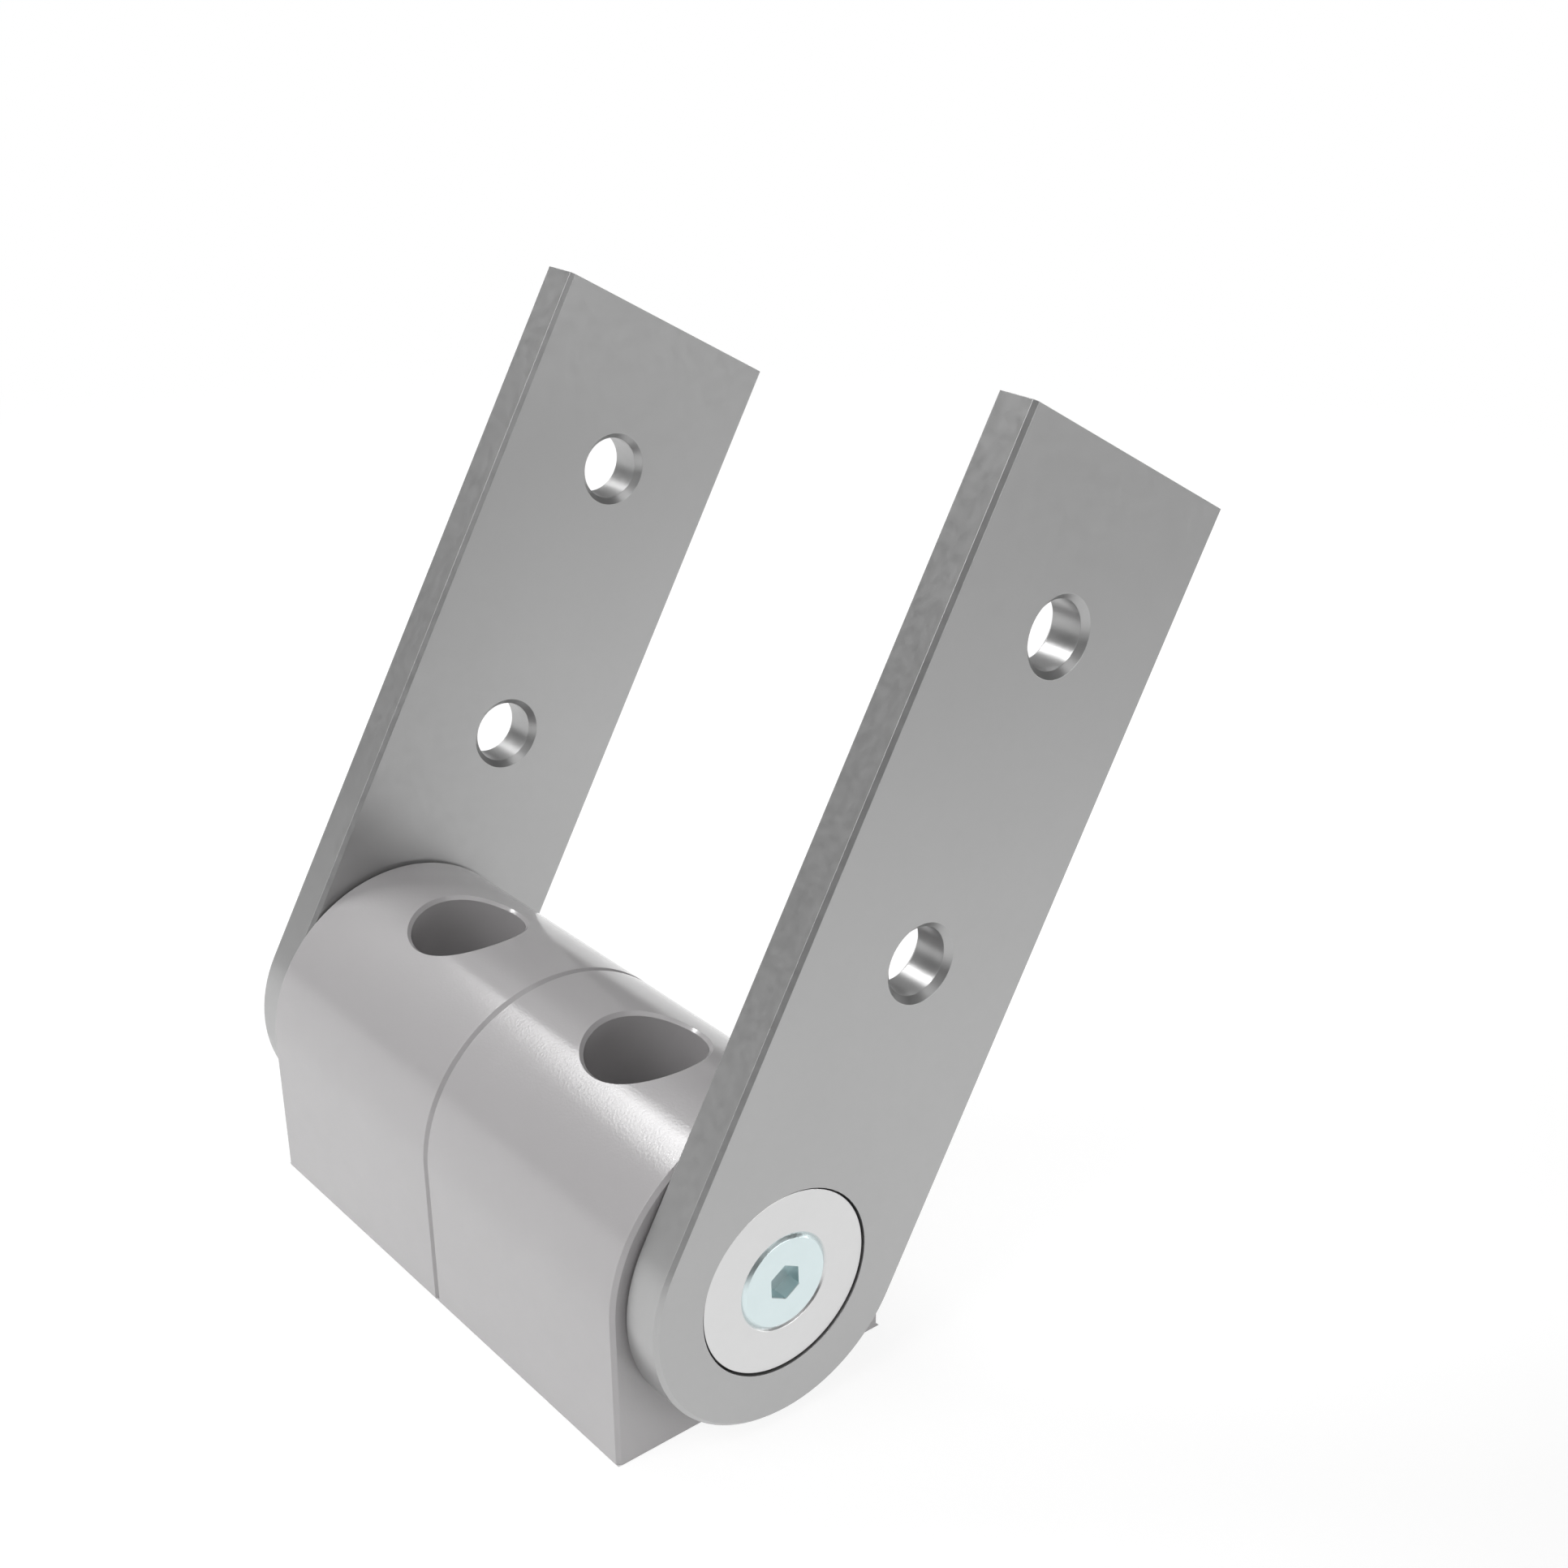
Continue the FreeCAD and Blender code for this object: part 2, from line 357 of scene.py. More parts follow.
def bore_grids():
    """Rim chamfer, wall bands with their windows, foot, foot hole and base of the block.

    Behind each window the blind hole ends inside the screw or the stud that stands in it.
    """
    rim, _ = bend(*bore_rim(bore_angles, rim_chamfer).T[:, None])
    edge, _ = bend(*bore_rim(bore_angles, 0.0).T[:, None])
    lower_rim = edge - np.array([0, 0, rim_chamfer])
    window_low, window_high = pivot_height - window_half, pivot_height + window_half
    share = np.linspace(0, 1, above_window_rows)[:, None]
    upper_heights = window_high + (lower_rim[0, :, 2] - window_high) * share
    window_heights = np.linspace(window_low, window_high, window_steps + 1)
    lower_heights = np.linspace(bore_floor, window_low, below_window_rows)[:, None]
    grids = [(np.concatenate([rim, lower_rim]), True), wall_point(bore_angles, upper_heights),
             wall_point(bore_angles, lower_heights)]
    full_turn = np.unwrap(np.append(bore_angles, bore_angles[0]))
    for side in range(4):
        angles = full_turn[side * cell_steps:(side + 1) * cell_steps + 1]
        if side == 1:
            grids += window_grids(angles, window_heights, 1, screw_low.x + hidden_overlap)
        elif side == 3:
            grids += window_grids(angles, window_heights, -1, stud_high.x - hidden_overlap)
        else:
            band, _ = wall_point(angles, window_heights[:, None])
            grids.append((band, False))
    foot = circle(bore_angles, foot_hole_radius, (bore_centre, 0.0))
    mouth = circle(bore_angles, foot_hole_radius + foot_mouth, (bore_centre, 0.0))
    wall_base = circle(bore_angles, bore_radius, (bore_centre, 0.0))
    floor_and_hole = np.stack([wall_base, foot, foot, mouth])
    floor_heights = np.array([bore_floor, bore_floor, foot_mouth, 0.0])[:, None]
    grids.append(grid(floor_and_hole[..., 0], floor_and_hole[..., 1], floor_heights, True))
    front = np.stack([across_lines, np.full(len(across_lines), -block_radius)], axis=1)
    end = np.stack([np.full(len(base_lines), block_width), base_lines], axis=1)
    half_turn = np.array([block_width, 0.0])
    base_border = np.concatenate([front, end, half_turn - front, half_turn - end])
    base = spokes(mouth, base_border, base_rows)
    grids.append(grid(base[..., 0], base[..., 1], 0.0, True))
    return grids


seat_depth = 1.5 * mm
seat_radius = 8.02 * mm
seam_hole_depth = 3 * mm
block_edge_round = 0.05 * mm
block_grids = block_sheets() + bore_grids()
block_grids += end_grids(0.0, end_chamfer, window_radius, seam_hole_depth)
block_grids += end_grids(block_width, block_width - end_chamfer, seat_radius, block_width - seat_depth)
blocks = {side: soften(make_skin(side + "_block_casting", block_grids, side == "left"), block_edge_round)
          for side in ("left", "right")}

# %% [markdown]
# ## The arms
# Each arm is a flat steel bar: sawn square at the far end, rounded at the pivot, with a chamfer round the
# long edges and in both mouths of its fixing holes. It is built standing upright, with the same horseshoe
# outline as the block but pointing down, and is then swung about the pivot to its tilt. Each face is three
# cells, one for each hole, so every hole has its own neat ring of faces.

# %% Lay out the arm
arm_chamfer = 0.5 * mm
arm_mouth_chamfer = 0.8 * mm
arm_edge_round = 0.04 * mm
arm_line_count = 19
arm_step = 2 * mm
arm_cell_rows = 7
heel_angle_count = 25
face_half = arm_half_width - arm_chamfer
pivot_cell_top = near_reach / 2
middle_cell_top = (near_reach + far_reach) / 2
arm_quarter = arm_half_width * math.pi / 2
face_lines = np.linspace(-face_half, face_half, arm_line_count)
arm_cell_ends = [0.0, pivot_cell_top, middle_cell_top, arm_reach]
arm_lengths = [divided(arm_cell_ends[cell:cell + 2], arm_step) for cell in range(3)]
leg_lengths = np.unique(np.concatenate(arm_lengths))
round_angles = np.linspace(0, math.pi / 2, heel_angle_count)
from_heel = np.concatenate([round_angles * arm_half_width, arm_quarter + leg_lengths[1:]])
arm_outline = np.concatenate([-from_heel[:0:-1], from_heel])

# %% Size the pivot hole
journal_hole_radius = 9.07 * mm
disc_side_gap = 0.25 * mm
disc_thickness = 2.0 * mm
liner_flange = 0.5 * mm
axial_play = 0.05 * mm
counterbore_radius = disc_radius + disc_side_gap
counterbore_floor = bush_high.x - disc_thickness - axial_play - liner_flange
print("counterbore depth in mm", round((arm_high.x - counterbore_floor) / mm, 2))


# %% Swing and border helpers
def swing(x, across, along):
    """Stand the arm's flat layout on the pivot and turn it about the pivot to the tilt."""
    y = across * tilt_cosine + along * tilt_sine
    z = pivot_height + along * tilt_cosine - across * tilt_sine
    return np.stack(np.broadcast_arrays(x, y, z), axis=-1)


def arm_cell_borders():
    """Border and hole centre of each of the arm's three cells, anticlockwise in the flat layout."""
    heel_y, heel_z = horseshoe(np.concatenate([-round_angles[::-1], round_angles[1:]]) * arm_half_width,
                               arm_half_width, arm_chamfer)
    heel = np.stack([heel_y, -heel_z], axis=1)
    crown = rectangle_border(face_lines, arm_lengths[0])[len(face_lines) - 1:]
    yield np.concatenate([heel[:-1], crown]), 0.0
    yield rectangle_border(face_lines, arm_lengths[1]), near_reach
    yield rectangle_border(face_lines, arm_lengths[2]), far_reach


# %% Build the arms
def arm_grids():
    """Faces, long edges, far end, fixing holes and pivot hole of the right arm."""
    outer_x, inner_x = arm_high.x, arm_low.x
    grids = []
    for border, reach in arm_cell_borders():
        angles = bearing(border, (0.0, reach))
        if reach == 0.0:
            steps = [(outer_x, counterbore_radius), (counterbore_floor, counterbore_radius),
                     (counterbore_floor, journal_hole_radius), (inner_x, journal_hole_radius)]
        else:
            wide = arm_hole_radius + arm_mouth_chamfer
            steps = [(outer_x, wide), (outer_x - arm_mouth_chamfer, arm_hole_radius),
                     (inner_x + arm_mouth_chamfer, arm_hole_radius), (inner_x, wide)]
        rings = [circle(angles, radius, (0.0, reach)) for _, radius in steps]
        stations = np.array([x for x, _ in steps])[:, None]
        grids.append((swing(stations, *np.stack(rings).transpose(2, 0, 1)), True))
        for x, ring in ((outer_x, rings[0]), (inner_x, rings[-1])):
            face = spokes(ring, border, arm_cell_rows)
            grids.append((swing(x, *face.transpose(2, 0, 1)), True))
    section = [(outer_x, arm_chamfer), (outer_x - arm_chamfer, 0.0), (inner_x + arm_chamfer, 0.0),
               (inner_x, arm_chamfer)]
    outline = [horseshoe(arm_outline, arm_half_width, inset) for _, inset in section]
    edge_x = np.array([x for x, _ in section])[:, None]
    outline_y = np.stack([y for y, _ in outline])
    outline_z = np.stack([z for _, z in outline])
    grids.append((swing(edge_x, outline_y, -outline_z), False))
    end_lines = np.concatenate([[-arm_half_width], face_lines, [arm_half_width]])
    end_x = np.full((2, len(end_lines)), [[outer_x], [inner_x]])
    end_x[:, [0, -1]] += np.array([[-arm_chamfer], [arm_chamfer]])
    grids.append((swing(end_x, end_lines[None], arm_reach), False))
    return grids


arms = {side: soften(make_skin(side + "_arm_bar", arm_grids(), side == "left"), arm_edge_round)
        for side in ("left", "right")}

# %% [markdown]
# ## The turned pieces
# The bush, the screws and the stud come off a lathe, so each is a profile of stations and radii carried
# round the hinge axis. Lathe profiles have narrow rounds at their corners, which a helper cuts into the
# profile before it is turned. A thread is such a grid too: along it the radius follows a zigzag of the
# station less the share of a turn, which is what makes the crest climb by one pitch each turn.

# %% Size the turned pieces
journal_radius = 8.0 * mm
journal_lead_in = 0.3 * mm
bush_mouth_chamfer = 0.15 * mm
bush_corner_round = 0.1 * mm
screw_hole_radius = 3.3 * mm
screw_radius = 3.0 * mm
screw_head_radius = 6.2 * mm
screw_head_bevel = 0.53 * mm
screw_head_clearance = 0.02 * mm
screw_face_ring = 1.0 * mm
screw_rim_depth = 0.36 * mm
screw_corner_round = 0.06 * mm
screw_flats = 4.0 * mm
screw_socket_depth = 2.1 * mm
screw_tip_chamfer = 0.6 * mm
stud_flats = 3.0 * mm
stud_socket_depth = 3.0 * mm
stud_chamfer = 0.8 * mm
socket_lip = 0.08 * mm
socket_corner = math.radians(91.6)
thread_pitch = 1.0 * mm
thread_depth = 0.6 * thread_pitch
thread_step = thread_pitch / 8
thread_runout = 1.5 * mm
corner_steps = 3
corner_share = 0.4
lathe_sharp_angle = math.radians(35)
turned_columns = 144
lathe_angles = socket_corner + np.linspace(0, 2 * math.pi, turned_columns, endpoint=False)
print("lathe columns", turned_columns, "every", 360 / turned_columns, "degrees")


# %% Build the lathe helpers
def rounded(profile, radius):
    """Profile with each inner corner swapped for a short curve.

    Between the points a radius before and after the corner, the curve blends the two straight lines through
    the corner: (1 - t)(1 - t) before + 2t (1 - t) corner + tt after. The radius takes up no more than
    corner_share of either line.
    """
    profile = np.array(profile, dtype=float)
    corner = profile[1:-1]
    before = profile[:-2] - corner
    after = profile[2:] - corner
    before_length = np.linalg.norm(before, axis=1, keepdims=True)
    after_length = np.linalg.norm(after, axis=1, keepdims=True)
    reach = np.minimum(radius, corner_share * np.minimum(before_length, after_length))
    before = corner + before / before_length * reach
    after = corner + after / after_length * reach
    t = np.linspace(0, 1, corner_steps + 1)[None, :, None]
    curve = (1 - t) ** 2 * before[:, None] + 2 * t * (1 - t) * corner[:, None] + t**2 * after[:, None]
    return np.concatenate([profile[:1], curve.reshape(-1, 2), profile[-1:]])


def turn(stations, radii):
    """Carry stations and radii once round the hinge axis."""
    y = radii * np.cos(lathe_angles)
    z = pivot_height + radii * np.sin(lathe_angles)
    return grid(stations, y, z, True)


def socket_grid(face_x, inner_radius, flats, depth):
    """Flat face from a ring down to a hexagon, the hexagon's walls and its flat floor, bored towards -X."""
    within = np.mod(lathe_angles - socket_corner, math.pi / 3) - math.pi / 6
    sides = flats / 2 / np.cos(within)
    ring = np.full(turned_columns, inner_radius)
    radii = np.stack([ring, sides + socket_lip, sides, sides, 0.5 * sides, 0.0 * sides])
    stations = face_x - np.array([0.0, 0.0, socket_lip, depth, depth, depth])[:, None]
    return turn(stations, radii)


def threaded(start, end, start_chamfer, end_chamfer, fade):
    """Threaded shank between two stations.

    The radius falls from the crest by the thread's depth times a zigzag of (station / pitch - turns), which
    fades out over the last stretch. The chamfers at the ends then cut it to a cone.
    """
    stations = divided([start, end], thread_step)[:, None]
    phase = stations / thread_pitch - lathe_angles / (2 * math.pi)
    zigzag = np.abs(2 * (phase - np.floor(phase)) - 1)
    radii = screw_radius - thread_depth * np.clip((end - stations) / fade, 0, 1) * zigzag
    radii = np.minimum(radii, screw_radius - start_chamfer + stations - start)
    radii = np.minimum(radii, screw_radius - end_chamfer + end - stations)
    return turn(stations, radii)


def flatten(piece):
    """Keep sharp corners sharp, and weight the other normals by face area, so that a narrow round at a corner
    doesn't bend the light on the flat beside it."""
    piece.data.set_sharp_from_angle(angle=lathe_sharp_angle)
    weighted = piece.modifiers.new("steady_normals", "WEIGHTED_NORMAL")
    weighted.keep_sharp = True
    return piece


# %% Turn the bushes, the screws and the stud
def bush_grids():
    """Seat end, journal, back of the disc, disc, countersink and bore of the bush, as one closed profile."""
    mouth = screw_head_radius + screw_head_clearance
    cone_start = bush_high.x - bush_mouth_chamfer - (mouth - screw_hole_radius)
    halfway = (bush_low.x + cone_start) / 2
    disc_back = bush_high.x - disc_thickness
    profile = [(halfway, screw_hole_radius), (bush_low.x, screw_hole_radius),
               (bush_low.x, journal_radius - journal_lead_in), (bush_low.x + journal_lead_in, journal_radius),
               (disc_back, journal_radius), (disc_back, disc_radius), (bush_high.x, disc_radius),
               (bush_high.x, mouth + bush_mouth_chamfer), (bush_high.x - bush_mouth_chamfer, mouth),
               (cone_start, screw_hole_radius), (halfway, screw_hole_radius)]
    stations, radii = rounded(profile, bush_corner_round).T
    return [turn(stations[:, None], radii[:, None])]


def screw_grids():
    """Tip, threaded shank, countersunk head with its bevelled rim, face and hexagon socket of the screw."""
    rim = bush_high.x - screw_rim_depth
    neck = rim - (screw_head_radius - screw_radius)
    face_ring = screw_head_radius - screw_face_ring
    tip_radii = np.array([0.0, screw_radius - screw_tip_chamfer])[:, None]
    head = [(neck, screw_radius), (rim, screw_head_radius),
            (screw_high.x, screw_head_radius - screw_head_bevel), (screw_high.x, face_ring)]
    stations, radii = rounded(head, screw_corner_round).T
    return [turn(screw_low.x, tip_radii),
            threaded(screw_low.x, neck, screw_tip_chamfer, 0.0, thread_runout),
            turn(stations[:, None], radii[:, None]),
            socket_grid(screw_high.x, face_ring, screw_flats, screw_socket_depth)]


def stud_grids():
    """Closed end, thread and hexagon socket of the stud that joins the blocks."""
    end_radii = np.array([0.0, screw_radius - stud_chamfer])[:, None]
    return [turn(stud_low.x, end_radii),
            threaded(stud_low.x, stud_high.x, stud_chamfer, stud_chamfer, thread_step),
            socket_grid(stud_high.x, screw_radius - stud_chamfer, stud_flats, stud_socket_depth)]


bushes = {side: flatten(make_skin(side + "_turned_bush", bush_grids(), side == "left"))
          for side in ("left", "right")}
screws = {side: flatten(make_skin(side + "_countersunk_screw", screw_grids(), side == "left"))
          for side in ("left", "right")}
stud = flatten(make_skin("threaded_stud", stud_grids()))

# %% [markdown]
# ## Finishes
# A finish here is a Principled shader and a few noises. The noises read Object coordinates, in metres, so a
# grain of a third of a millimetre is a noise of scale 1 / 0.00033, and it has the same size on every piece.
# Each finish gets the same things that make a real surface look made: a slow drift of its colour, an uneven
# gloss and, but for the hidden stud, a fine relief. How strong each one is tells paint from blasted steel
# and steel from plating.

# %% Finish helpers
noise_low, noise_high = 0.3, 0.7


def new_finish(name):
    """Empty material with a Principled shader. Returns the material, its node tree and the shader."""
    material = bpy.data.materials.new("finish_" + name)
    material.use_nodes = True
    tree = material.node_tree
    shader = tree.nodes["Principled BSDF"]
    return material, tree, shader


def noise(tree, place, grain, detail=2.0):
    """Noise with blotches about one grain wide, in metres."""
    texture = tree.nodes.new("ShaderNodeTexNoise")
    texture.inputs["Scale"].default_value = 1 / grain
    texture.inputs["Detail"].default_value = detail
    tree.links.new(place, texture.inputs["Vector"])
    return texture.outputs["Fac"]


def between(tree, share, low, high):
    """Numbers from low to high as the share goes through the range where most of a noise's values lie."""
    spread = tree.nodes.new("ShaderNodeMapRange")
    spread.inputs["From Min"].default_value = noise_low
    spread.inputs["From Max"].default_value = noise_high
    spread.inputs["To Min"].default_value = low
    spread.inputs["To Max"].default_value = high
    tree.links.new(share, spread.inputs["Value"])
    return spread.outputs["Result"]


def tint(tree, share, dark, light):
    """Colour from dark to light with the share."""
    mix = tree.nodes.new("ShaderNodeMix")
    mix.data_type = "RGBA"
    mix.inputs["A"].default_value = (*dark, 1)
    mix.inputs["B"].default_value = (*light, 1)
    tree.links.new(share, mix.inputs["Factor"])
    return mix.outputs["Result"]


def relief(tree, heights, depth):
    """Bump of that depth, in metres, from a height between 0 and 1."""
    bump = tree.nodes.new("ShaderNodeBump")
    bump.inputs["Strength"].default_value = 1.0
    bump.inputs["Distance"].default_value = depth
    tree.links.new(heights, bump.inputs["Height"])
    return bump.outputs["Normal"]


def place_of(tree):
    """The point's own place on the object, in metres."""
    return tree.nodes.new("ShaderNodeTexCoord").outputs["Object"]


# %% Paint of the blocks
def block_paint():
    """Semi-gloss light grey powder coat with a warm cast and a fine orange peel."""
    material, tree, shader = new_finish("block_paint")
    place = place_of(tree)
    drift = noise(tree, place, 14 * mm)
    tree.links.new(tint(tree, drift, (0.42, 0.408, 0.414), (0.44, 0.428, 0.434)), shader.inputs["Base Color"])
    tree.links.new(between(tree, noise(tree, place, 3 * mm), 0.36, 0.42), shader.inputs["Roughness"])
    peel = relief(tree, noise(tree, place, 0.33 * mm, 1.0), 0.012 * mm)
    tree.links.new(peel, shader.inputs["Normal"])
    tree.links.new(peel, shader.inputs["Coat Normal"])
    shader.inputs["Coat Weight"].default_value = 1.0
    shader.inputs["Coat Roughness"].default_value = 0.06
    return material


# %% Steel of the arms
def arm_steel():
    """Evenly blasted and plated steel: satin and neutral grey."""
    material, tree, shader = new_finish("arm_steel")
    place = place_of(tree)
    drift = noise(tree, place, 18 * mm)
    tree.links.new(tint(tree, drift, (0.44, 0.44, 0.44), (0.46, 0.46, 0.46)), shader.inputs["Base Color"])
    tree.links.new(between(tree, noise(tree, place, 1.2 * mm), 0.32, 0.38), shader.inputs["Roughness"])
    grit = relief(tree, noise(tree, place, 0.25 * mm), 0.0015 * mm)
    tree.links.new(grit, shader.inputs["Normal"])
    shader.inputs["Metallic"].default_value = 0.85
    return material


# %% Turned steel, plating and plastic
def lathe_lines(tree, place, pitch):
    """Height of fine turning marks: a wave of the distance from the hinge axis."""
    centred = tree.nodes.new("ShaderNodeVectorMath")
    centred.operation = "SUBTRACT"
    centred.inputs[1].default_value = (0.0, 0.0, pivot_height)
    tree.links.new(place, centred.inputs[0])
    flat = tree.nodes.new("ShaderNodeVectorMath")
    flat.operation = "MULTIPLY"
    flat.inputs[1].default_value = (0.0, 1.0, 1.0)
    tree.links.new(centred.outputs["Vector"], flat.inputs[0])
    distance = tree.nodes.new("ShaderNodeVectorMath")
    distance.operation = "LENGTH"
    tree.links.new(flat.outputs["Vector"], distance.inputs[0])
    turns = tree.nodes.new("ShaderNodeMath")
    turns.operation = "MULTIPLY"
    turns.inputs[1].default_value = 2 * math.pi / pitch
    tree.links.new(distance.outputs["Value"], turns.inputs[0])
    wave = tree.nodes.new("ShaderNodeMath")
    wave.operation = "SINE"
    tree.links.new(turns.outputs["Value"], wave.inputs[0])
    return wave.outputs["Value"]


def bush_steel():
    """Bright turned steel with faint lathe lines."""
    material, tree, shader = new_finish("bush_steel")
    place = place_of(tree)
    drift = noise(tree, place, 6 * mm)
    tree.links.new(tint(tree, drift, (0.68, 0.68, 0.68), (0.71, 0.71, 0.71)), shader.inputs["Base Color"])
    tree.links.new(between(tree, noise(tree, place, 0.8 * mm), 0.3, 0.38), shader.inputs["Roughness"])
    lines = relief(tree, lathe_lines(tree, place, 0.35 * mm), 0.0006 * mm)
    tree.links.new(lines, shader.inputs["Normal"])
    shader.inputs["Metallic"].default_value = 1.0
    return material


def screw_zinc():
    """Blue zinc plating: pale, cool and a little cloudy."""
    material, tree, shader = new_finish("screw_zinc")
    place = place_of(tree)
    cloud = noise(tree, place, 2.5 * mm)
    tree.links.new(tint(tree, cloud, (0.68, 0.78, 0.79), (0.72, 0.82, 0.83)), shader.inputs["Base Color"])
    tree.links.new(between(tree, noise(tree, place, 0.6 * mm), 0.28, 0.36), shader.inputs["Roughness"])
    tree.links.new(relief(tree, noise(tree, place, 0.3 * mm), 0.001 * mm), shader.inputs["Normal"])
    shader.inputs["Metallic"].default_value = 1.0
    return material


def stud_steel():
    """Black-oiled set screw steel."""
    material, tree, shader = new_finish("stud_steel")
    place = place_of(tree)
    drift = noise(tree, place, 2 * mm)
    tree.links.new(tint(tree, drift, (0.06, 0.06, 0.065), (0.09, 0.09, 0.095)), shader.inputs["Base Color"])
    tree.links.new(between(tree, noise(tree, place, 0.7 * mm), 0.35, 0.5), shader.inputs["Roughness"])
    shader.inputs["Metallic"].default_value = 0.9
    return material


def bearing_plastic():
    """Self-lubricating bearing plastic: near black and dull, with a speckle of filler."""
    material, tree, shader = new_finish("bearing_plastic")
    place = place_of(tree)
    speckle = noise(tree, place, 0.4 * mm, 3.0)
    dark, light = (0.012, 0.012, 0.012), (0.03, 0.03, 0.03)
    tree.links.new(tint(tree, speckle, dark, light), shader.inputs["Base Color"])
    tree.links.new(between(tree, speckle, 0.5, 0.65), shader.inputs["Roughness"])
    tree.links.new(relief(tree, speckle, 0.002 * mm), shader.inputs["Normal"])
    return material


# %% [markdown]
# ## Pieces, bodies and finishes
# Each new piece stands for its CAD node, takes the record's material slot, and rides on the body that
# carries it. The slide washers and the bearing liners show only as dark slivers in the pivot gaps. Their CAD
# shape is already right, so they stay and only get their finish.

# %% Dress the pieces
finishes = {
    "block_paint": block_paint(),
    "arm_steel": arm_steel(),
    "bush_steel": bush_steel(),
    "screw_zinc": screw_zinc(),
    "stud_steel": stud_steel(),
    "bearing_plastic": bearing_plastic(),
}


def dress(piece, node, body, slot):
    """Give a piece its finish, hide the CAD node that it stands for, and let it ride on its body."""
    piece.data.materials.clear()
    piece.data.materials.append(finishes[slot])
    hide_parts(node)
    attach(piece, body)


for side in ("left", "right"):
    dress(blocks[side], side + "_block", "blocks", "block_paint")
    dress(arms[side], side + "_arm", side + "_arm_group", "arm_steel")
    dress(bushes[side], side + "_pivot_bush", "blocks", "bush_steel")
    dress(screws[side], side + "_pivot_screw", "blocks", "screw_zinc")
    for part in ("_slide_washer", "_bearing_liner"):
        node = frame["nodes"][side + part]
        node.data.materials.clear()
        node.data.materials.append(finishes["bearing_plastic"])
dress(stud, "joining_stud", "blocks", "stud_steel")

# %% [markdown]
# ## Camera
# The photograph was taken from 50 degrees round to the right and 25 degrees up, with the view of a 50 mm
# lens on a 36 mm sensor. The frame was cropped off centre, which the two small shifts follow.

# %% Set the camera
view_azimuth = math.radians(50.06)
view_elevation = math.radians(25.0)
camera_place = (0.20417, -0.12792, 0.17557)
camera_data = bpy.data.cameras.new("camera")
camera_data.lens = 50
camera_data.sensor_width = 36
camera_data.shift_x = -0.0198
camera_data.shift_y = 0.0118
camera_data.clip_start = 0.01
camera_data.clip_end = 20
camera = bpy.data.objects.new("camera", camera_data)
camera.location = camera_place
camera.rotation_euler = (math.pi / 2 - view_elevation, 0.0, view_azimuth)
scene.collection.objects.link(camera)
scene.camera = camera

# %% [markdown]
# ## Floor and surround
# The hinge stands on a pale studio sweep: a flat floor that curves up into a wall. It is one surface of
# revolution. The camera, mirrors and glass see it white. It fades to grey up the wall and, outside the
# picture, towards the hinge's right, and those fades give the steel its light and dark sides. Near the hinge
# a share of its own pale colour, lit by the lamps, is mixed in, so that the shadow shows, and the white is a
# little stronger to make up for that share. Under the blocks it isn't white, so that nothing bright shows
# through their foot holes. Above the wall the room is plain dark grey.

# %% Build the sweep
scene.view_settings.view_transform = "Standard"
sweep_radius, sweep_bend, sweep_height = 4.0, 1.0, 2.4
sweep_columns, bend_steps, floor_rings = 96, 12, 8
near_glow, far_glow, wall_foot, wall_head = 1.2, 1.0, 0.0, 0.7
dim_azimuth, dim_near, dim_far, dim_glow = math.radians(25), 0.05, 0.42, 0.5
room_level = 0.12
floor_colour = (0.8, 0.8, 0.8, 1)
shadow_share, shadow_near, shadow_far = 0.3, 0.15, 0.5


def sweep_piece():
    """Disc, quarter-round bend and wall about the Z axis, with more rings at the bend and an open rim."""
    around = np.linspace(0, 2 * math.pi, sweep_columns, endpoint=False)
    turning = np.linspace(0, math.pi / 2, bend_steps + 1)[1:]
    flat = np.linspace(0, sweep_radius - sweep_bend, floor_rings)
    radii = np.concatenate([flat, flat[-1] + sweep_bend * np.sin(turning), [sweep_radius]])
    heights = np.concatenate([0 * flat, sweep_bend * (1 - np.cos(turning)), [sweep_height]])
    x = radii[:, None] * np.cos(around)
    y = radii[:, None] * np.sin(around)
    return make_skin("studio_sweep", [grid(x, y, heights[:, None], wrap=True)])


def ramp(tree, value, low, high, at_low, at_high):
    """Smooth step from at_low to at_high while the value goes from low to high."""
    step = tree.nodes.new("ShaderNodeMapRange")
    step.interpolation_type = "SMOOTHSTEP"
    step.inputs["From Min"].default_value = low
    step.inputs["From Max"].default_value = high
    step.inputs["To Min"].default_value = at_low
    step.inputs["To Max"].default_value = at_high
    tree.links.new(value, step.inputs["Value"])
    return step.outputs["Result"]


def product(tree, first, second):
    """Product of two values."""
    times = tree.nodes.new("ShaderNodeMath")
    times.operation = "MULTIPLY"
    tree.links.new(first, times.inputs[0])
    tree.links.new(second, times.inputs[1])
    return times.outputs["Value"]


def covered(tree, parts):
    """1 on the floor under the blocks and 0 elsewhere."""
    inside = []
    for axis, half in (("X", block_width), ("Y", block_radius)):
        size = tree.nodes.new("ShaderNodeMath")
        size.operation = "ABSOLUTE"
        tree.links.new(parts.outputs[axis], size.inputs[0])
        below = tree.nodes.new("ShaderNodeMath")
        below.operation = "LESS_THAN"
        below.inputs[1].default_value = half
        tree.links.new(size.outputs["Value"], below.inputs[0])
        inside.append(below.outputs["Value"])
    return product(tree, *inside)


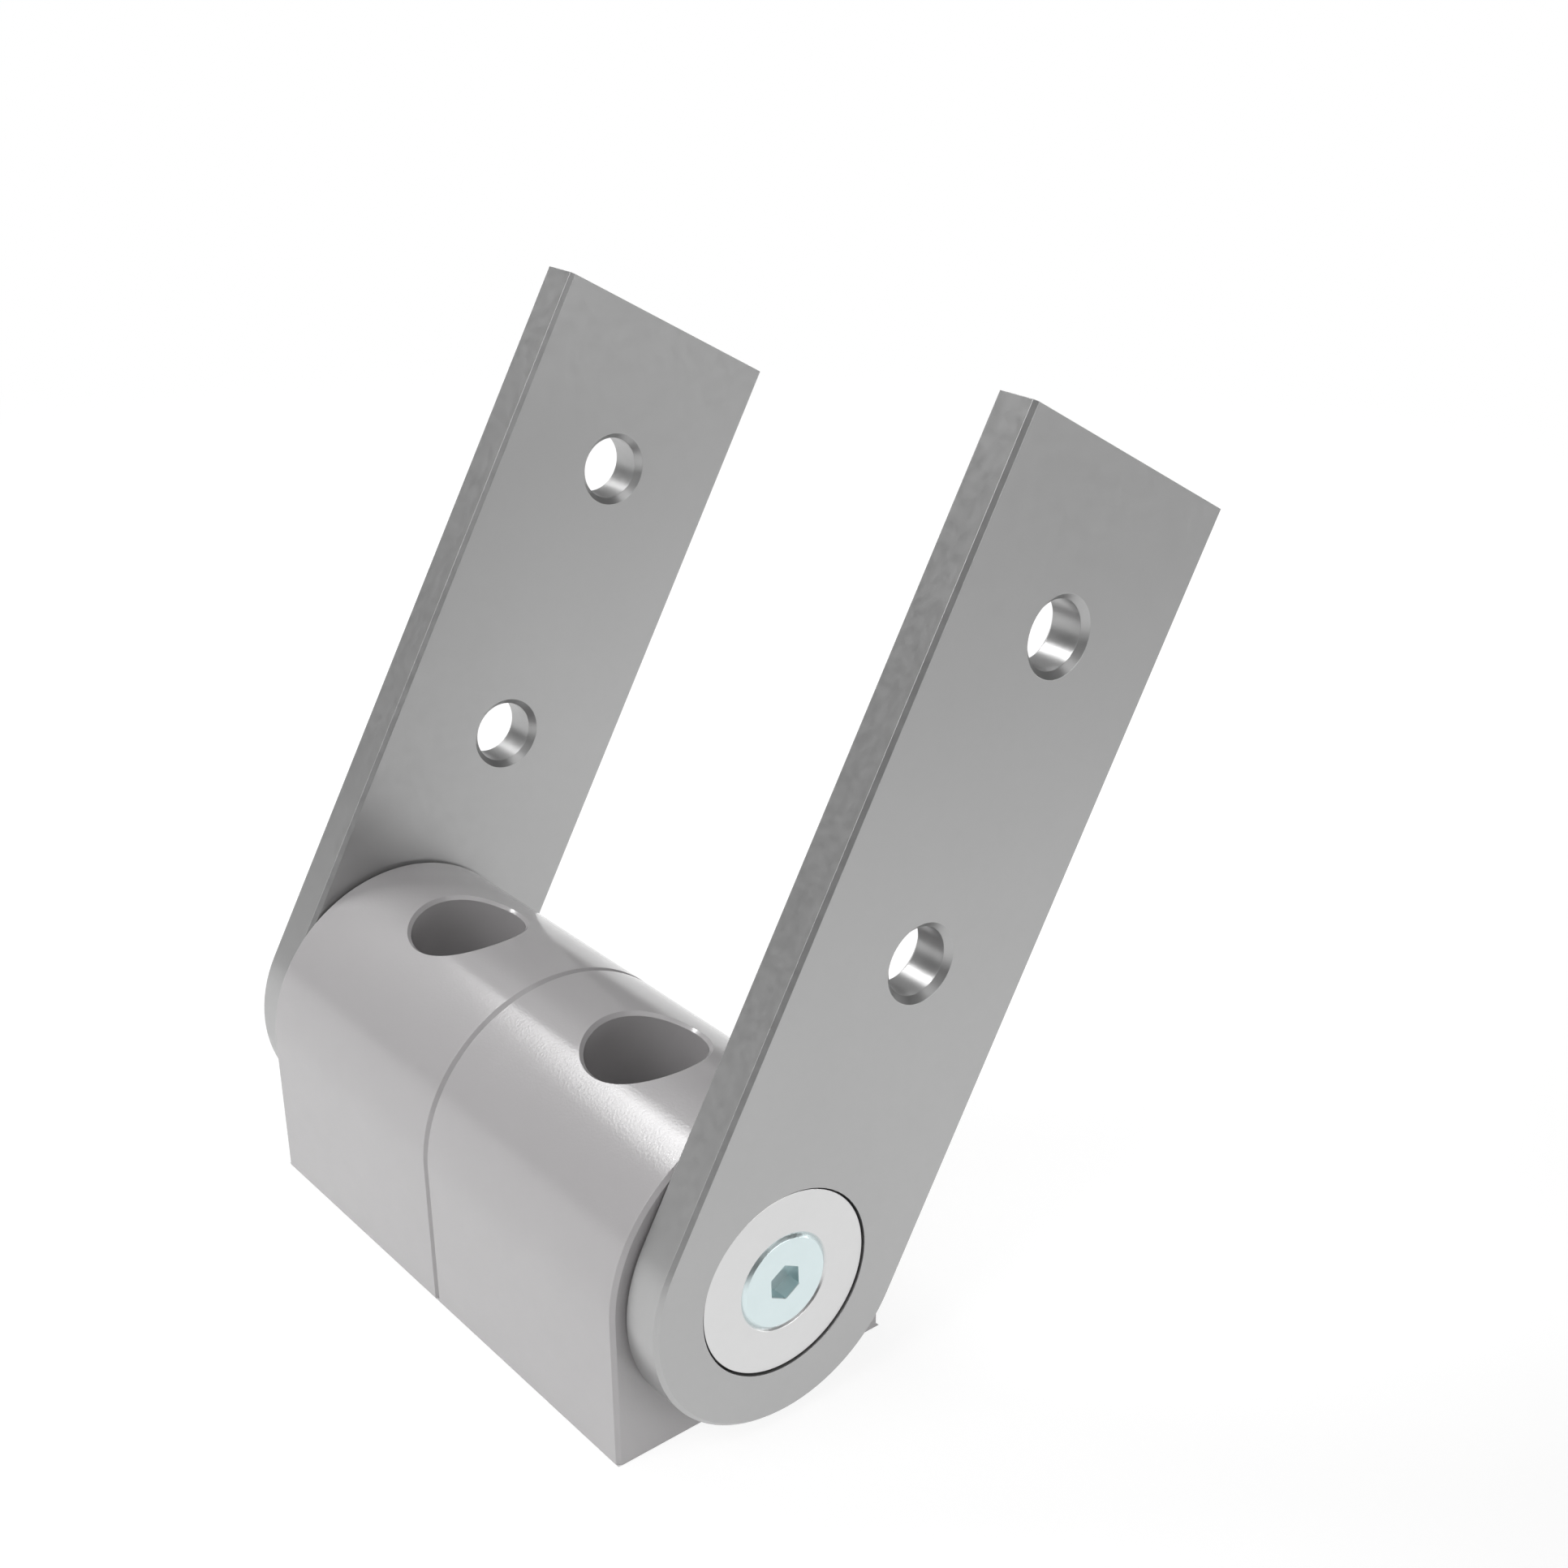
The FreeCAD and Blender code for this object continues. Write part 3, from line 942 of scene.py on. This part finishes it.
def sweep_finish():
    """Matt pale floor that camera, glossy and transmission rays see white, but for its lit share."""
    material = bpy.data.materials.new("finish_sweep")
    material.use_nodes = True
    tree = material.node_tree
    tree.nodes.clear()
    place = place_of(tree)
    parts = tree.nodes.new("ShaderNodeSeparateXYZ")
    tree.links.new(place, parts.inputs["Vector"])
    reach = tree.nodes.new("ShaderNodeVectorMath")
    reach.operation = "LENGTH"
    tree.links.new(place, reach.inputs[0])
    sideways = tree.nodes.new("ShaderNodeVectorMath")
    sideways.operation = "DOT_PRODUCT"
    sideways.inputs[1].default_value = (math.cos(dim_azimuth), math.sin(dim_azimuth), 0.0)
    tree.links.new(place, sideways.inputs[0])

    matt = tree.nodes.new("ShaderNodeBsdfDiffuse")
    matt.inputs["Color"].default_value = floor_colour
    glow = tree.nodes.new("ShaderNodeEmission")
    wall = ramp(tree, parts.outputs["Z"], wall_foot, wall_head, 1.0, room_level)
    nearness = ramp(tree, reach.outputs["Value"], shadow_near, shadow_far, near_glow, far_glow)
    side = ramp(tree, sideways.outputs["Value"], dim_near, dim_far, 1.0, dim_glow)
    tree.links.new(product(tree, product(tree, wall, nearness), side), glow.inputs["Strength"])
    share = ramp(tree, reach.outputs["Value"], shadow_near, shadow_far, 1 - shadow_share, 1.0)
    open_floor = ramp(tree, covered(tree, parts), 0.0, 1.0, 1.0, 0.0)

    path = tree.nodes.new("ShaderNodeLightPath")
    seen = path.outputs["Is Camera Ray"]
    for other in ("Is Glossy Ray", "Is Transmission Ray"):
        either = tree.nodes.new("ShaderNodeMath")
        either.operation = "MAXIMUM"
        tree.links.new(seen, either.inputs[0])
        tree.links.new(path.outputs[other], either.inputs[1])
        seen = either.outputs["Value"]
    mix = tree.nodes.new("ShaderNodeMixShader")
    tree.links.new(product(tree, product(tree, seen, share), open_floor), mix.inputs["Fac"])
    tree.links.new(matt.outputs["BSDF"], mix.inputs[1])
    tree.links.new(glow.outputs["Emission"], mix.inputs[2])
    output = tree.nodes.new("ShaderNodeOutputMaterial")
    tree.links.new(mix.outputs["Shader"], output.inputs["Surface"])
    return material


sweep = sweep_piece()
sweep.data.materials.append(sweep_finish())
room = bpy.data.worlds.new("room")
room.use_nodes = True
room.node_tree.nodes["Background"].inputs["Color"].default_value = (room_level, room_level, room_level, 1)
scene.world = room

# %% [markdown]
# ## Softboxes
# Every lamp is a softbox: a rectangle about 1.3 m away that faces the hinge. Azimuth 0 is the hinge's right
# side, 90 its back, 180 its left and 270 its front. The level is the brightness of its face, where white
# paper in the photograph is 1, so its power is that level times pi times its area. The highlight along the
# half-round tops and in the arms' holes comes from a strip at the upper left that is brightest in its
# middle. Eight boxes of growing size make it, each a centimetre behind the last, because a mirror ray adds
# up the lamps it passes only where they lie at different distances. A small box beside it makes the glints
# on the rims of the bores. The right side is darker, and a low box at the right back gives the outside of
# the arm its sheen.

# %% Place the softboxes
lamp_distance = 1.3
lamp_target = Vector((0.0, 0.02, 0.055))
strip_boxes, strip_gap = 8, 0.01
strip_azimuth, strip_turn, strip_elevation = 190, 0.8, 49.2
strip_width, strip_height, strip_level = 0.09, 0.055, 1.3
glint_gap = 0.1


def softbox(name, azimuth, elevation, width, height, level, distance=lamp_distance):
    """Rectangular area lamp at a direction in degrees, facing the hinge, with a face of the given level."""
    around, above = math.radians(azimuth), math.radians(elevation)
    flat = math.cos(above)
    direction = Vector((math.cos(around) * flat, math.sin(around) * flat, math.sin(above)))
    lamp = bpy.data.lights.new(name, "AREA")
    lamp.shape = "RECTANGLE"
    lamp.size = width
    lamp.size_y = height
    lamp.energy = level * math.pi * width * height
    holder = bpy.data.objects.new(name, lamp)
    holder.location = lamp_target + direction * distance
    holder.rotation_euler = direction.to_track_quat("Z", "Y").to_euler()
    scene.collection.objects.link(holder)


for step in range(1, strip_boxes + 1):
    softbox(f"strip_{step}", strip_azimuth + strip_turn * step, strip_elevation,
            strip_width * step, strip_height * step, strip_level, lamp_distance + strip_gap * step)
# Each of the others is given as azimuth, elevation, width, height and level.
softbox("left_low", 178, 12, 0.8, 0.5, 2.7)
softbox("rim_glint", 210, 49, 0.2, 0.12, 14.0, lamp_distance - glint_gap)
softbox("left_back", 145, 38, 0.9, 0.8, 0.3)
softbox("left_front", 225, 28, 0.8, 0.8, 0.1)
softbox("front_low", 270, 12, 0.8, 0.5, 1.2)
softbox("front_high", 270, 42, 0.8, 0.8, 3.0)
softbox("front_right", 315, 38, 0.8, 0.8, 0.2)
softbox("right_low", 18, 14, 0.8, 0.5, 3.2)
softbox("right_back", 60, 2, 0.5, 0.16, 5.0)
softbox("right_high", 0, 60, 0.8, 0.8, 1.2)
softbox("top", 200, 80, 1.2, 1.0, 0.4)
